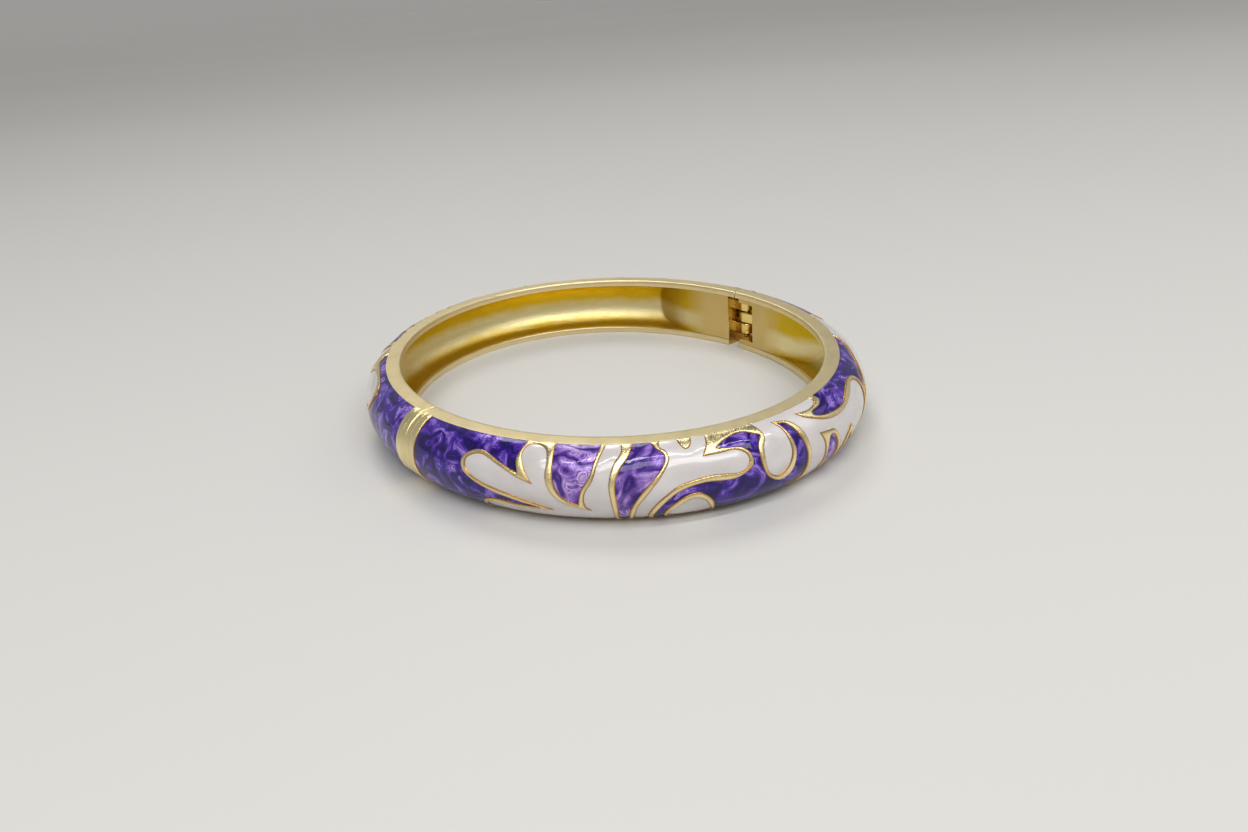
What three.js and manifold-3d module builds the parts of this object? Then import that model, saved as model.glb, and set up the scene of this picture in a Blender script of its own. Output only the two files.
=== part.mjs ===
// Oval hinged bangle: two cast halves with domed, enamelled outsides, a knuckle hinge
// and a snap tongue.  Units are millimetres, +Z is up, the ring lies flat on its rim.
// The hinge is at +X, the clasp at -X; the front half is at -Y, the back half at +Y.
import * as THREE from 'three';
import { mergeVertices } from 'three/addons/utils/BufferGeometryUtils.js';
import Module from 'manifold-3d';

const wasm = await Module();
wasm.setup();

// ---- plan and section of the ring
const SEMI_X = 25.5;          // inner oval, hinge to clasp
const SEMI_Y = 30;            // inner oval, across
const HEIGHT = 8.7;
const RIM = 1.6;              // flat rim, inner edge to the foot of the dome
const BULGE = 3.4;            // how far the dome stands out past the rim
const WALL = 1.0;             // shell thickness
const LIP = 0.9;              // thickness of the two flat rims
const MID = HEIGHT / 2;
const CREST = RIM + BULGE;
const DOME_R = (MID ** 2 + BULGE ** 2) / (2 * BULGE);  // the dome is an arc from rim to rim

// ---- enamel
const ARC_R = 3.85;           // turns mm across the dome into an angle round its section
const EDGE = Math.PI / 2 * ARC_R;
const RECESS = 0.62;          // depth of the cells in the casting
const ENAMEL = 0.4;           // thickness of the enamel fields
const FIT = 0.1;              // air left round each enamel field
const STEP = 1.9;             // spacing of points along a curved outline

// ---- ends of the halves
const SEAM = 0.1;             // half of the gap between the two end faces
const BLOCK_FACE = 0.12;      // block face set back from the rim's inner edge
const HINGE_BLOCK = 6.5;      // solid length at the hinge
const CLASP_BLOCK = 6.5;      // solid length at the clasp
const HINGE_RAMP = 12;        // length over which the block runs out into the channel
const CLASP_RAMP = 7.5;

// ---- hinge
const PIN_X = SEMI_X + 2.7;
const PIN_R = 0.5;
const PIN_Z0 = 1.75;
const KNUCKLE_R = 1.2;
const KNUCKLE_H = 1.6;
const KNUCKLE_GAP = 0.2;
const BORE_FIXED = 0.53;
const BORE_TURNING = 0.56;
const POCKET_AIR = 0.25;
const WINDOW = 3.4;           // how far the pocket opens into the front half
const OPENING = 50;           // degrees

// ---- clasp tongue
const TONGUE_LEN = 4.6;
const TONGUE_ROOT = 3.2;
const TONGUE_H = 4.2;
const LEAF = 0.45;
const TONGUE_T = 1.5;
const SLOT_AIR = 0.4;

const TURN_STEPS = 24;

// ---------------------------------------------------------------- outlines of the cells
// [s, t] in mm: s runs along the crest from the clasp, t up the dome from its middle.
// A third value of 1 marks a sharp corner; the points between corners are a smooth curve.
const T = 5.75;               // cells stop here, at the upper foot of the dome
const LOW = 4.75;             // and this far below its middle
const END = 101.1;            // and here, at the plain band by the hinge

const FRONT_CELLS = [
  ['violet_by_clasp', 'violet', [
    [2.1, T, 1], [17.8, T, 1], [17.3, 4.2], [17.1, 3.1], [17.45, 1.8, 1], [15.2, 2.6],
    [12.9, 3.5], [11.3, 3.3], [10.1, 2.2], [10.5, 0.9], [12.6, -0.1], [15.9, -0.95],
    [19.6, -1.75, 1], [16.8, -1.75], [14.2, -1.5], [12.5, -2.1], [11.8, -3.4],
    [12.2, -4.2], [13.2, -LOW, 1], [2.1, -LOW, 1]]],
  ['white_branch', 'white', [
    [10.7, 1.7], [11.0, 2.5], [12.6, 3.05], [15.0, 2.25], [17.4, 1.35], [19.3, 0.85, 1],
    [18.3, 2.2], [17.7, 3.8], [18.0, 5.0], [19.0, 5.35], [20.2, 4.8], [20.7, 3.3],
    [20.7, 1.5], [21.3, 0.2], [22.6, -0.9], [25.5, -1.8, 1], [24.85, -1.0], [25.0, 0.3],
    [25.9, 1.6], [26.4, 3.4], [27.2, T, 1], [28.8, T, 1], [28.8, 4.5], [28.0, 3.0],
    [27.5, 1.2], [27.6, -0.6], [27.7, -2.6], [27.6, -LOW, 1], [14.4, -LOW, 1], [12.7, -4.0],
    [12.5, -3.1], [13.6, -2.15], [16.5, -2.25], [21.4, -2.0, 1], [19.2, -1.2],
    [16.4, -0.5], [13.2, 0.2], [11.3, 0.9]]],
  ['violet_shield', 'violet', [
    [21.3, T, 1], [26.6, T, 1], [26.0, 3.6], [25.5, 1.9], [24.6, 0.6], [24.1, -1.0, 1],
    [22.9, -0.5], [21.9, 0.6], [21.5, 2.4]]],
  ['violet_heart', 'violet', [
    [30.2, T, 1], [32.0, T, 1], [32.6, 4.8], [33.4, 3.9], [33.3, 2.8], [32.2, 1.5],
    [30.6, 0.0], [29.5, -1.8], [29.1, -3.8], [28.6, -LOW, 1], [28.2, -3.4], [28.3, -1.2],
    [28.2, 0.9], [28.7, 2.4], [29.7, 4.0]]],
  ['white_finger', 'white', [
    [33.2, T, 1], [35.1, T, 1], [35.4, 4.8], [35.9, 4.2], [36.5, 4.6], [36.9, T, 1],
    [38.4, T, 1], [38.2, 4.4], [37.5, 3.05, 1], [39.5, 3.05], [41.2, 3.05], [42.3, 2.3],
    [42.3, 1.4], [41.2, 0.8], [38.2, 1.1], [35.0, 0.7], [33.3, -0.2], [32.0, -1.4],
    [31.3, -3.0], [31.4, -LOW, 1], [29.7, -LOW, 1], [29.8, -3.6], [30.3, -1.4], [31.6, 0.2],
    [33.1, 1.8], [33.95, 3.2], [33.7, 4.3], [33.1, 4.9]]],
  ['white_drop', 'white', [
    [33.6, -2.7], [34.6, -1.7], [36.0, -0.95], [37.3, -1.4], [37.9, -2.6], [38.3, -3.9],
    [38.0, -LOW, 1], [34.3, -LOW, 1], [33.5, -3.9]]],
  ['violet_wave', 'violet', [
    [39.2, 3.7, 1], [40.6, 4.5], [42.6, 4.95], [44.6, 3.9, 1], [43.9, 2.9], [43.7, 1.4],
    [44.3, -0.3], [46.0, -1.4], [47.5, -0.9], [48.3, 0.9], [48.2, 2.6], [47.5, 4.5, 1],
    [48.5, 4.0], [49.3, 2.3], [49.8, 0.2], [49.6, -2.2], [48.8, -4.2], [47.8, -LOW, 1],
    [38.8, -LOW, 1], [38.7, -3.6], [38.2, -1.6], [36.8, -0.4], [35.0, -0.7], [33.5, -1.9],
    [32.9, -3.4], [33.4, -LOW, 1], [32.2, -LOW, 1], [31.9, -3.4], [32.7, -1.6], [34.5, -0.1],
    [37.2, 0.5], [40.6, 0.3], [42.6, 1.0], [42.9, 2.1], [42.0, 3.2], [40.6, 3.5]]],
  ['white_sweep', 'white', [
    [44.4, T, 1], [54.4, T, 1], [54.3, 4.9], [52.6, 4.5], [50.4, 4.8, 1], [51.6, 3.6],
    [54.6, 2.3], [58.2, 2.1], [61.0, 2.7], [63.4, 3.4], [64.8, 2.9], [65.2, 1.4],
    [64.6, -0.6], [62.6, -2.4], [60.8, -2.2], [59.6, -0.6], [58.7, 0.3, 1], [57.6, -1.0],
    [57.1, -2.8], [56.7, -4.2, 1], [56.3, -2.8], [56.0, -0.6], [55.0, 1.0], [53.8, 1.35],
    [52.2, 1.6, 1], [52.75, 0.4], [52.9, -1.6], [52.9, -3.6], [53.1, -LOW, 1],
    [48.4, -LOW, 1], [49.4, -4.2], [50.2, -2.2], [50.4, 0.3], [50.0, 2.7], [48.8, 4.4],
    [46.8, 5.05, 1], [47.6, 3.4], [47.7, 1.2], [46.9, -0.2], [45.6, -0.7], [44.4, 0.3],
    [44.4, 2.2], [45.1, 3.8]]],
  ['violet_hook', 'violet', [
    [53.6, -LOW, 1], [53.4, -2.6], [53.4, -0.2], [54.0, 0.75], [54.8, 0.4], [55.4, -0.9],
    [55.7, -3.0], [56.2, -LOW, 1]]],
  ['violet_foot', 'violet', [
    [58.8, -0.7, 1], [60.3, -2.7], [62.6, -3.2], [64.8, -3.5], [68.6, -4.2], [71.8, -LOW, 1],
    [57.8, -LOW, 1], [57.5, -3.4], [57.9, -1.8]]],
  ['violet_leaf', 'violet', [
    [76.8, T, 1], [55.3, T, 1], [55.5, 4.9], [54.6, 4.2], [53.0, 4.0], [52.9, 3.5],
    [54.8, 2.9], [58.2, 2.7], [60.6, 3.5], [63.2, 4.1], [65.2, 3.5], [65.9, 1.8],
    [65.7, 0.2, 1], [67.6, 2.0], [70.4, 3.5], [74.4, 4.6]]],
  ['white_leaf', 'white', [
    [77.6, T, 1], [86.0, T, 1], [85.6, 3.9], [86.2, 2.4], [88.2, 2.0], [90.6, 2.9],
    [92.4, 2.7], [93.0, 1.5], [92.0, 0.4], [89.0, -0.5], [84.6, -1.2, 1], [88.4, -1.6],
    [90.6, -2.2], [91.2, -3.6], [90.0, -LOW, 1], [72.8, -LOW, 1], [69.8, -4.1], [65.9, -2.9],
    [65.5, -1.8], [66.8, 0.0], [68.6, 1.9], [71.4, 3.2], [75.0, 4.2]]],
  ['violet_by_hinge', 'violet', [
    [END, T, 1], [86.6, T, 1], [86.3, 4.0], [86.9, 2.8], [88.4, 2.6], [90.6, 3.4],
    [92.8, 3.1], [93.5, 1.5], [92.6, 0.0], [89.6, -1.0], [91.2, -1.9], [91.8, -3.4],
    [90.9, -LOW, 1], [END, -LOW, 1]]],
];

// the back half begins at the clasp with two fields of its own
const BACK_START = [
  ['violet_by_clasp', 'violet', [
    [2.1, T, 1], [24.3, T, 1], [23.6, 5.0], [22.0, 4.65], [19.0, 4.8], [15.6, 4.7],
    [13.2, 4.05], [12.4, 3.0], [12.8, 1.8], [14.2, 0.6], [16.9, -0.1], [22.2, -0.95],
    [27.5, -1.75, 1], [23.6, -1.75], [19.5, -1.5], [16.8, -2.1], [15.6, -3.3],
    [16.0, -4.2], [17.6, -LOW, 1], [2.1, -LOW, 1]]],
  ['white_branch', 'white', [
    [13.3, 2.2], [13.5, 3.0], [14.6, 3.75], [16.6, 4.2], [18.8, 4.1], [20.8, 3.6],
    [22.8, 2.4], [24.6, 1.3, 1], [24.6, 2.6], [24.9, 4.0], [25.6, 4.9], [27.0, 5.35],
    [28.4, 4.9], [28.9, 3.3], [28.9, 1.5], [29.5, 0.2], [30.8, -0.9], [33.7, -1.8, 1],
    [33.0, -1.0], [33.2, 0.3], [34.1, 1.6], [34.6, 3.4], [35.4, T, 1], [37.0, T, 1],
    [37.0, 4.5], [36.2, 3.0], [35.7, 1.2], [35.8, -0.6], [35.9, -2.6], [35.8, -LOW, 1],
    [19.8, -LOW, 1], [16.9, -4.0], [16.8, -3.1], [18.5, -2.15], [23.1, -2.25],
    [29.6, -2.0, 1], [26.9, -1.2], [23.0, -0.5], [17.9, 0.2], [14.8, 0.9]]],
];
// and repeats the rest the other way round, pushed on from the clasp
const PUSHED = 8.2;
const eased = (x) => {
  const u = Math.min(1, Math.max(0, x));
  return u * u * (3 - 2 * u);
};
const pushedOn = (s) => s + PUSHED * (1 - eased((s - 40) / 60));
const BACK_CELLS = [...BACK_START, ...FRONT_CELLS.slice(2).map(([name, colour, outline]) => [
  name, colour, outline.map(([s, t, corner]) => [pushedOn(s), t, corner])])].map(
  ([name, colour, outline]) => [name, colour, outline.map(([s, t, corner]) => [-s, t, corner])]);

// ---------------------------------------------------------------- outline helpers
function smoothLoop(points, step) {
  const first = points.findIndex((p) => p[2] === 1);
  if (first < 0) {
    const loop = points.map((p) => new THREE.Vector3(p[0], p[1], 0));
    const curve = new THREE.CatmullRomCurve3(loop, true, 'catmullrom', 0.5);
    const count = Math.max(8, Math.round(curve.getLength() / step));
    return curve.getSpacedPoints(count).slice(0, -1).map((p) => new THREE.Vector2(p.x, p.y));
  }
  const turned = [...points.slice(first), ...points.slice(0, first), points[first]];
  const out = [];
  let run = [turned[0]];
  for (const p of turned.slice(1)) {
    run.push(p);
    if (p[2] !== 1) continue;
    const curve = new THREE.SplineCurve(run.map((q) => new THREE.Vector2(q[0], q[1])));
    const count = Math.max(1, Math.round(curve.getLength() / step));
    out.push(...curve.getSpacedPoints(count).slice(0, -1));
    run = [p];
  }
  return out;
}

function inset(loop, gap) {
  const turn = THREE.ShapeUtils.area(loop) > 0 ? 1 : -1;
  return loop.map((p, i) => {
    const before = loop[(i + loop.length - 1) % loop.length];
    const after = loop[(i + 1) % loop.length];
    const a = p.clone().sub(before).normalize();
    const b = after.clone().sub(p).normalize();
    const normal = new THREE.Vector2(-a.y - b.y, a.x + b.x);
    const sharp = Math.max(0.35, normal.length() / 2);
    return p.clone().addScaledVector(normal.normalize(), turn * gap / sharp);
  });
}

// ---------------------------------------------------------------- solid helpers
const prism = (loop, z0, z1) => {
  const geometry = new THREE.ExtrudeGeometry(new THREE.Shape(loop), {
    depth: z1 - z0, bevelEnabled: false, curveSegments: 8 });
  return geometry.translate(0, 0, z0);
};

const box = (x0, x1, y0, y1, z0, z1) => new THREE.BoxGeometry(x1 - x0, y1 - y0, z1 - z0)
  .translate((x0 + x1) / 2, (y0 + y1) / 2, (z0 + z1) / 2);

function rectangle(x0, x1, y0, y1) {
  return new THREE.Shape([
    new THREE.Vector2(x0, y0), new THREE.Vector2(x1, y0),
    new THREE.Vector2(x1, y1), new THREE.Vector2(x0, y1)]);
}

const rod = (radius, z0, z1, segments = TURN_STEPS) => (
  new THREE.CylinderGeometry(radius, radius, z1 - z0, segments)
    .rotateX(Math.PI / 2).translate(0, 0, (z0 + z1) / 2));

function solid(geometry) {
  const bare = geometry.clone();
  bare.deleteAttribute('normal');
  bare.deleteAttribute('uv');
  const welded = mergeVertices(bare, 1e-4);
  const corners = Array.from(welded.index.array);
  const kept = [];
  for (let i = 0; i < corners.length; i += 3) {
    const [a, b, c] = corners.slice(i, i + 3);
    if (a !== b && b !== c && c !== a) kept.push(a, b, c);
  }
  return new wasm.Manifold(new wasm.Mesh({
    numProp: 3,
    vertProperties: Float32Array.from(welded.attributes.position.array),
    triVerts: Uint32Array.from(kept),
  }));
}

function toGeometry(manifold) {
  const mesh = manifold.getMesh();
  const geometry = new THREE.BufferGeometry();
  geometry.setAttribute('position', new THREE.BufferAttribute(mesh.vertProperties, 3));
  geometry.setIndex(new THREE.BufferAttribute(mesh.triVerts, 1));
  return geometry;
}

const union = (parts) => parts.reduce((sum, part) => sum.add(part));
const without = (body, cuts) => cuts.reduce((rest, cut) => rest.subtract(cut), body);

function mapped(geometry, map) {
  const p = geometry.attributes.position;
  for (let i = 0; i < p.count; i += 1) p.setXYZ(i, ...map([p.getX(i), p.getY(i), p.getZ(i)]));
  return geometry;
}

// ---------------------------------------------------------------- the two bends
// first across: (s, t, height above the dome) to (s, z, offset from the inner oval)
const across = ([s, t, h]) => {
  const x = DOME_R - BULGE + BULGE * Math.cos(t / ARC_R);
  const z = MID * Math.sin(t / ARC_R);
  const out = (DOME_R + h) / Math.hypot(x, z);
  return [s, MID + out * z, CREST - DOME_R + out * x];
};

// then along: s becomes a place on the oval
const ovalPoint = (angle, offset) => {
  const nx = SEMI_Y * Math.cos(angle);
  const ny = SEMI_X * Math.sin(angle);
  const size = Math.hypot(nx, ny);
  return [SEMI_X * Math.cos(angle) + offset * nx / size, SEMI_Y * Math.sin(angle) + offset * ny / size];
};
const ARC_TABLE = [0];
const ARC_PARTS = 1440;
for (let i = 1; i <= ARC_PARTS; i += 1) {
  const [x0, y0] = ovalPoint(Math.PI * (i - 1) / ARC_PARTS, CREST);
  const [x1, y1] = ovalPoint(Math.PI * i / ARC_PARTS, CREST);
  ARC_TABLE.push(ARC_TABLE[i - 1] + Math.hypot(x1 - x0, y1 - y0));
}
const HALF = ARC_TABLE[ARC_PARTS];
const angleAt = (s) => {
  const length = Math.min(Math.abs(s), HALF);
  let low = 0;
  let high = ARC_PARTS;
  while (high - low > 1) {
    const middle = (low + high) >> 1;
    if (ARC_TABLE[middle] <= length) low = middle;
    else high = middle;
  }
  const share = (length - ARC_TABLE[low]) / (ARC_TABLE[high] - ARC_TABLE[low]);
  return Math.PI + Math.sign(s) * Math.PI * (low + share) / ARC_PARTS;
};
const along = ([s, z, offset]) => [...ovalPoint(angleAt(s), offset), z];

const S_PARTS = 20;
const T_PARTS = 8;

// The skin is cut while it lies open.  It is arched a little along and across meanwhile,
// so that its facets stay apart and every wall cut through it is plane.
const ARCH_S = 0.001;
const ARCH_T = 0.004;
const arch = (s, t) => ARCH_S * s * s + ARCH_T * t * t;
const arched = ([s, t, h]) => [s, t, h - arch(s, t)];
const closedUp = ([s, t, z]) => along(across([s, t, z + arch(s, t)]));

function openSlab(sign, h0, h1) {
  const slab = new THREE.BoxGeometry(HALF - 2 * SEAM, 2 * EDGE, h1 - h0, S_PARTS, T_PARTS, 1);
  slab.translate(sign * HALF / 2, 0, (h0 + h1) / 2);
  return solid(mapped(slab, arched));
}
const cutter = (loop) => solid(prism(loop, -arch(HALF, EDGE) - 2, 2));

// a section swept the whole length of a half: section x is the offset, y is z
function swept(section, lo, hi) {
  const bar = new THREE.ExtrudeGeometry(section, {
    depth: hi - lo, steps: S_PARTS, bevelEnabled: false, curveSegments: 6 });
  return solid(mapped(bar.rotateY(-Math.PI / 2).translate(hi, 0, 0), along));
}

// ---------------------------------------------------------------- one cast half
function castHalf(sign, cells) {
  const lo = sign > 0 ? SEAM : SEAM - HALF;
  const hi = lo + HALF - 2 * SEAM;
  const outlines = cells.map(([, , outline]) => cutter(smoothLoop(outline, STEP)));
  const pockets = union(outlines).intersect(openSlab(sign, -RECESS, WALL));
  const open = openSlab(sign, -WALL, 0).subtract(pockets);
  const skin = solid(mapped(toGeometry(open), closedUp));
  const rims = [0, HEIGHT - LIP].map((z) => swept(rectangle(0, RIM + 0.02, z, z + LIP), lo, hi));

  // solid fill behind the dome, kept only where the plan of the blocks covers it
  const core = new THREE.Shape();
  core.moveTo(BLOCK_FACE, LIP / 2);
  core.lineTo(RIM, WALL * 0.8);
  core.absellipse(RIM, MID, BULGE - WALL * 0.8, MID - WALL * 0.8, -Math.PI / 2, Math.PI / 2);
  core.lineTo(BLOCK_FACE, HEIGHT - LIP / 2);
  const blockPlan = (end, inward, length, ramp) => {
    const plan = new THREE.Shape();
    plan.moveTo(end - inward, -1);
    plan.lineTo(end + inward * length / 2, -1);
    plan.lineTo(end + inward * length, -1);
    plan.lineTo(end + inward * length, BLOCK_FACE);
    plan.bezierCurveTo(
      end + inward * (length + ramp * 0.5), BLOCK_FACE + 0.2,
      end + inward * (length + ramp * 0.8), CREST * 0.45,
      end + inward * (length + ramp), CREST);
    plan.lineTo(end + inward * (length + ramp) / 2, CREST);
    plan.lineTo(end - inward, CREST);
    const fill = prism(plan.getPoints(6), 0, HEIGHT).rotateX(Math.PI / 2).translate(0, HEIGHT, 0);
    return solid(mapped(fill, along));
  };
  const hingeEnd = sign > 0 ? hi : lo;
  const claspEnd = sign > 0 ? lo : hi;
  const blocks = swept(core, lo, hi).intersect(union([
    blockPlan(hingeEnd, -sign, HINGE_BLOCK, HINGE_RAMP),
    blockPlan(claspEnd, sign, CLASP_BLOCK, CLASP_RAMP),
  ]));
  return union([skin, ...rims, blocks]);
}

// ---------------------------------------------------------------- hinge
const PIN_Z1 = PIN_Z0 + 3 * KNUCKLE_H + 2 * KNUCKLE_GAP;
const atPin = (geometry) => geometry.translate(PIN_X, 0, 0);
const hingePocket = () => {
  const air = KNUCKLE_R + POCKET_AIR;
  const z0 = PIN_Z0 - POCKET_AIR;
  const z1 = PIN_Z1 + POCKET_AIR;
  return [
    solid(atPin(rod(air, z0, z1))),
    solid(box(SEMI_X - 1, PIN_X, -WINDOW, air, z0, z1)),
    solid(box(SEMI_X - 1, SEMI_X + 2, -0.7, air, -1, z0 + 0.2)),
    solid(box(SEMI_X - 1, SEMI_X + 1.6, -0.7, air, z1 - 0.2, HEIGHT - LIP)),
  ];
};
// clearance outside the pin so that the halves can swing apart
const hingeWedge = () => {
  const reach = 4;
  const spread = reach * Math.tan(THREE.MathUtils.degToRad(OPENING / 2 + 3));
  const loop = [[PIN_X, 0], [PIN_X + reach, -spread], [PIN_X + reach, spread]];
  return solid(prism(loop.map(([x, y]) => new THREE.Vector2(x, y)), -1, HEIGHT + 1));
};
function knuckle(level, side, bore) {
  const z0 = PIN_Z0 + level * (KNUCKLE_H + KNUCKLE_GAP);
  const z1 = z0 + KNUCKLE_H;
  const barrel = solid(atPin(rod(KNUCKLE_R, z0, z1)));
  const reach = (side > 0 ? KNUCKLE_R + POCKET_AIR : WINDOW) + 1.2;
  const leaf = side > 0 ? box(PIN_X - KNUCKLE_R + 0.1, PIN_X + 0.2, 0, reach, z0, z1)
    : box(PIN_X - KNUCKLE_R + 0.1, PIN_X + 0.2, -reach, 0, z0, z1);
  return barrel.add(solid(leaf)).subtract(solid(atPin(rod(bore, z0 - 1, z1 + 1))));
}

// ---------------------------------------------------------------- clasp
const TONGUE_X = -(SEMI_X + 2.3);
const TONGUE_Z = MID - TONGUE_H / 2;
const claspSlot = (y0, y1, air) => solid(box(
  TONGUE_X - TONGUE_T / 2 - air, TONGUE_X + TONGUE_T / 2 + air, y0, y1,
  TONGUE_Z - air, TONGUE_Z + TONGUE_H + air));

// spring tongue: a strip folded back on itself, open at the root
function tongueGeometry() {
  const half = TONGUE_T / 2;
  const tip = TONGUE_LEN - half;
  const strip = new THREE.Shape();
  strip.moveTo(-half, -TONGUE_ROOT);
  strip.lineTo(-half, tip);
  strip.absarc(0, tip, half, Math.PI, 0, true);
  strip.lineTo(half, 0.6);
  strip.lineTo(half - LEAF, 0.6);
  strip.lineTo(half - LEAF, tip);
  strip.absarc(0, tip, half - LEAF, 0, Math.PI, false);
  strip.lineTo(-half + LEAF, -TONGUE_ROOT);
  return new THREE.ExtrudeGeometry(strip, { depth: TONGUE_H, bevelEnabled: false, curveSegments: 8 })
    .translate(TONGUE_X, 0, TONGUE_Z);
}

// ---------------------------------------------------------------- assembly
const MATERIALS = {
  gold: { color: 0xc9a227, roughness: 0.28, metalness: 1 },
  steel: { color: 0xd8c27a, roughness: 0.25, metalness: 1 },
  violet: { color: 0x4b2fa0, roughness: 0.2, metalness: 0 },
  white: { color: 0xe4dfdf, roughness: 0.2, metalness: 0 },
};

const bangle = new THREE.Group();
bangle.name = 'bangle';

function addNode(name, geometry, finish) {
  const flat = geometry.index ? geometry.toNonIndexed() : geometry;
  flat.deleteAttribute('normal');
  flat.computeVertexNormals();
  const mesh = new THREE.Mesh(flat, new THREE.MeshStandardMaterial(MATERIALS[finish]));
  mesh.name = name;
  bangle.add(mesh);
}

const back = without(castHalf(-1, BACK_CELLS), [
  ...hingePocket(), hingeWedge(), claspSlot(-1, TONGUE_LEN + SLOT_AIR, SLOT_AIR)]);
const front = without(castHalf(1, FRONT_CELLS), [
  ...hingePocket(), hingeWedge(), claspSlot(-TONGUE_ROOT - FIT, 1, FIT)]);

addNode('back_half_casting', toGeometry(union([
  back, knuckle(0, 1, BORE_FIXED), knuckle(2, 1, BORE_FIXED)])), 'gold');
addNode('front_half_casting', toGeometry(front.add(knuckle(1, -1, BORE_TURNING))), 'gold');
addNode('hinge_pin', atPin(rod(PIN_R, PIN_Z0, PIN_Z1)), 'steel');
addNode('clasp_tongue', tongueGeometry(), 'steel');

for (const [half, sign, cells] of [['front', 1, FRONT_CELLS], ['back', -1, BACK_CELLS]]) {
  const layer = openSlab(sign, -ENAMEL, 0);
  for (const [name, colour, outline] of cells) {
    const field = cutter(inset(smoothLoop(outline, STEP), FIT));
    addNode(`${half}_${name}`, mapped(toGeometry(field.intersect(layer)), closedUp), colour);
  }
}

export default bangle;
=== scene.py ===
"""Oval hinged bangle with enamelled outside, on a pale floor.

Lengths in the shape functions are millimetres and become metres when a mesh is made.
The hinge is at +X, the clasp at -X; the front half is at -Y, the back half at +Y.
"""
import math

import bmesh
import bpy
import numpy as np
from mathutils import Matrix, Vector
from mathutils.geometry import delaunay_2d_cdt


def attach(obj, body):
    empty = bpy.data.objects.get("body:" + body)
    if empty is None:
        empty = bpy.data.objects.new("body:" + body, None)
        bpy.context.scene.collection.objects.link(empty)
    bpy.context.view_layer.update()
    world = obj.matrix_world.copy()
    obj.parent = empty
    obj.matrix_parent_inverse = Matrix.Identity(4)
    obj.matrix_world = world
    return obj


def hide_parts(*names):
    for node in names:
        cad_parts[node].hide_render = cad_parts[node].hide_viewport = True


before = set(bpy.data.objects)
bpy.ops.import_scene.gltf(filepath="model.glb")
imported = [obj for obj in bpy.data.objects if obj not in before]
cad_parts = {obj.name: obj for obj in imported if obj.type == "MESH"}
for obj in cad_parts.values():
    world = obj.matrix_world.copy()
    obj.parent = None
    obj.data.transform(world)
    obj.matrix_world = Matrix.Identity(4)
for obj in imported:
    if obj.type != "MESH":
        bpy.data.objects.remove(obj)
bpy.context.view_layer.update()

MM = 0.001

# ---- plan and section of the ring
SEMI_X = 25.5               # half the width and length of the opening
SEMI_Y = 30.0
HEIGHT = 8.7
RIM = 1.6                   # width of the flat rims
BULGE = 3.4                 # how far the dome stands out from the rims
WALL = 1.0
LIP = 0.9                   # height of the rims inside the channel
MID = HEIGHT / 2
CREST = RIM + BULGE
DOME_R = (MID ** 2 + BULGE ** 2) / (2 * BULGE)
ARC_R = 3.85                # turns t into an angle across the dome
EDGE = math.pi / 2 * ARC_R  # t where the dome meets a rim

# ---- ends of the halves
SEAM = 0.06                 # half of the gap between two end faces
BLOCK_FACE = 0.12           # how far a block's inner face is from the opening's oval
HINGE_BLOCK = 6.5           # length of a block, and of its slope into the channel
HINGE_RAMP = 12.0
CLASP_BLOCK = 6.5
CLASP_RAMP = 7.5
END_ROUND = 0.22
BLOCK_MIX = 4.5             # over this length the block's tan painted reflection fades into the channel's colour

# ---- raised gold lines and enamel
LINE_H = 0.15
LINE_R = 0.32               # the line's round edge reaches this far into the gold
PATCH_DIP = 0.06            # wide gold patches lie this much below the lines
CELL_DEPTH = 0.3
ENAMEL_OVER = 0.03          # the enamel reaches this far under the line
ENAMEL_DEPTH = 0.24
ENAMEL_SWELL = 0.09

# ---- hinge
PIN_X = SEMI_X + 2.7
PIN_R = 0.5
PIN_Z0 = 1.75
KNUCKLE_R = 1.2
KNUCKLE_H = 1.6
KNUCKLE_GAP = 0.2
POCKET_AIR = 0.25
WINDOW = 3.4                # how far the pocket opens into the front half
OPENING = 50.0              # degrees
PIN_Z1 = PIN_Z0 + 3 * KNUCKLE_H + 2 * KNUCKLE_GAP

# ---- clasp
TONGUE_X = -(SEMI_X + 2.3)
TONGUE_T = 1.5
TONGUE_H = 4.2
TONGUE_LEN = 4.6
TONGUE_ROOT = 3.2           # length held in the front half
LEAF = 0.45                 # thickness of the strip
TONGUE_Z = MID - TONGUE_H / 2
SLOT_AIR = 0.4

# ---------------------------------------------------------------- outlines of the cells
# [s, t]: s runs along the crest from the clasp, t up the dome from its middle.
# A third value of 1 marks a sharp corner; the points between corners are a smooth curve.
T = 5.75                    # upper ends of the cells
LOW = 4.75                  # lower ends of the cells
END = 101.1                 # ends of the cells at the hinge

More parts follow.
